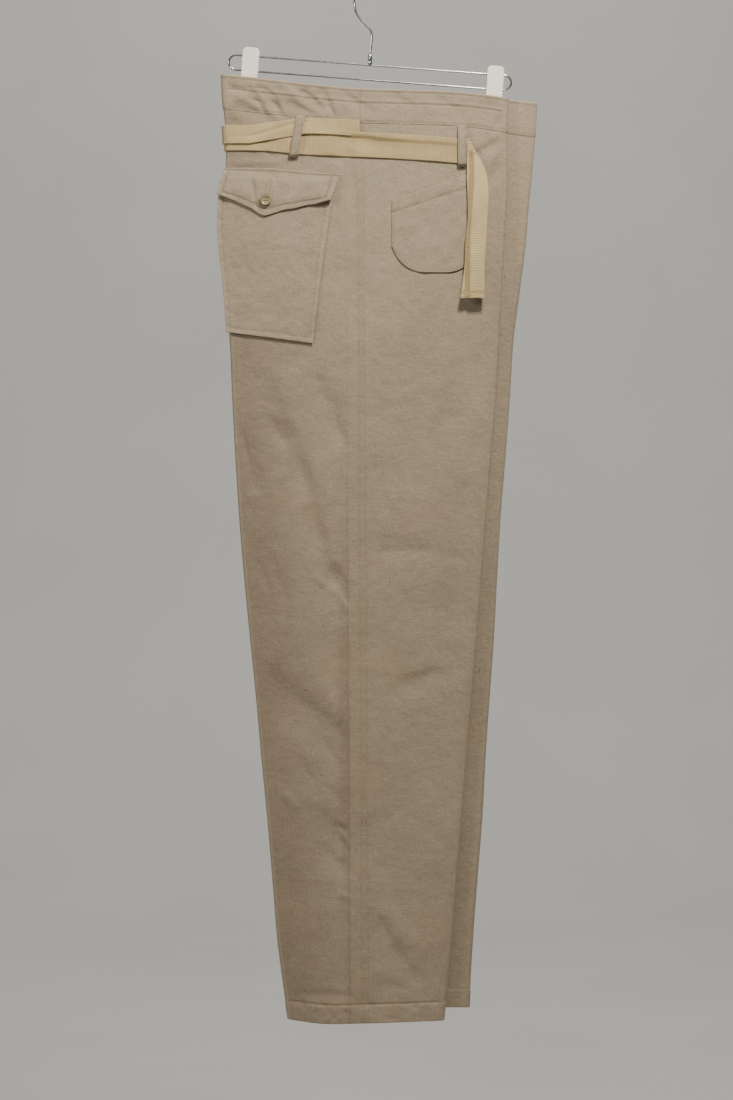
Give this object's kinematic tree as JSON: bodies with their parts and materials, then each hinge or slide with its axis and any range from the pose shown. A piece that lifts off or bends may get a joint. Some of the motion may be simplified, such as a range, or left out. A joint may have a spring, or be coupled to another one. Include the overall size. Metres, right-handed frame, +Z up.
{
  "type": "work trousers on clip hanger",
  "caption": "Ecru drill work trousers with a wide waistband, webbing belt, flap and patch pockets, folded lengthwise and held by the waist on a wire clip hanger.",
  "frame": {"origin": "the highest point inside the hanger's hook, where it hangs on a rail", "axes": "+Z up, +X to the garment's front edge, -Y to the viewer of the garment's right side"},
  "size_m": [0.3843, 0.0543, 1.2553],
  "materials": {
    "drill": "unbleached cotton drill, matt, fine twill",
    "webbing": "ribbed cotton webbing, matt",
    "button": "cream four-hole button, satin",
    "wire": "bright plated steel wire",
    "clip_plastic": "moulded cream plastic"
  },
  "bodies": {
    "root": {"right_back": "drill", "right_front": "drill", "left_back": "drill", "left_front": "drill", "waistband_right_back": "drill", "waistband_right_front": "drill", "waistband_left_back": "drill", "waistband_left_front": "drill", "back_pocket_right": "drill", "pocket_flap_right": "drill", "front_pocket_right": "drill", "loop_right_back": "drill", "loop_right_front": "drill", "back_pocket_left": "drill", "pocket_flap_left": "drill", "front_pocket_left": "drill", "loop_left_back": "drill", "loop_left_front": "drill", "fly_shield": "drill", "right_back_fold": "drill", "right_back_inner": "drill", "right_front_fold": "drill", "right_front_inner": "drill", "left_back_fold": "drill", "left_back_inner": "drill", "left_front_fold": "drill", "left_front_inner": "drill", "belt": "webbing", "waist_tape": "webbing", "belt_end_right": "webbing", "belt_end_left": "webbing", "flap_button_right": "button", "flap_button_left": "button", "waist_button": "button", "hanger_wire_upper": "wire", "hanger_wire_lower": "wire", "hanger_end_left": "wire", "hanger_end_right": "wire", "hanger_ferrule": "wire", "hanger_hook": "wire", "clip_left_spring_block": "wire", "clip_right_spring_block": "wire", "clip_left_near_jaw": "clip_plastic", "clip_left_far_jaw": "clip_plastic", "clip_right_near_jaw": "clip_plastic", "clip_right_far_jaw": "clip_plastic"}
  },
  "joints": []
}
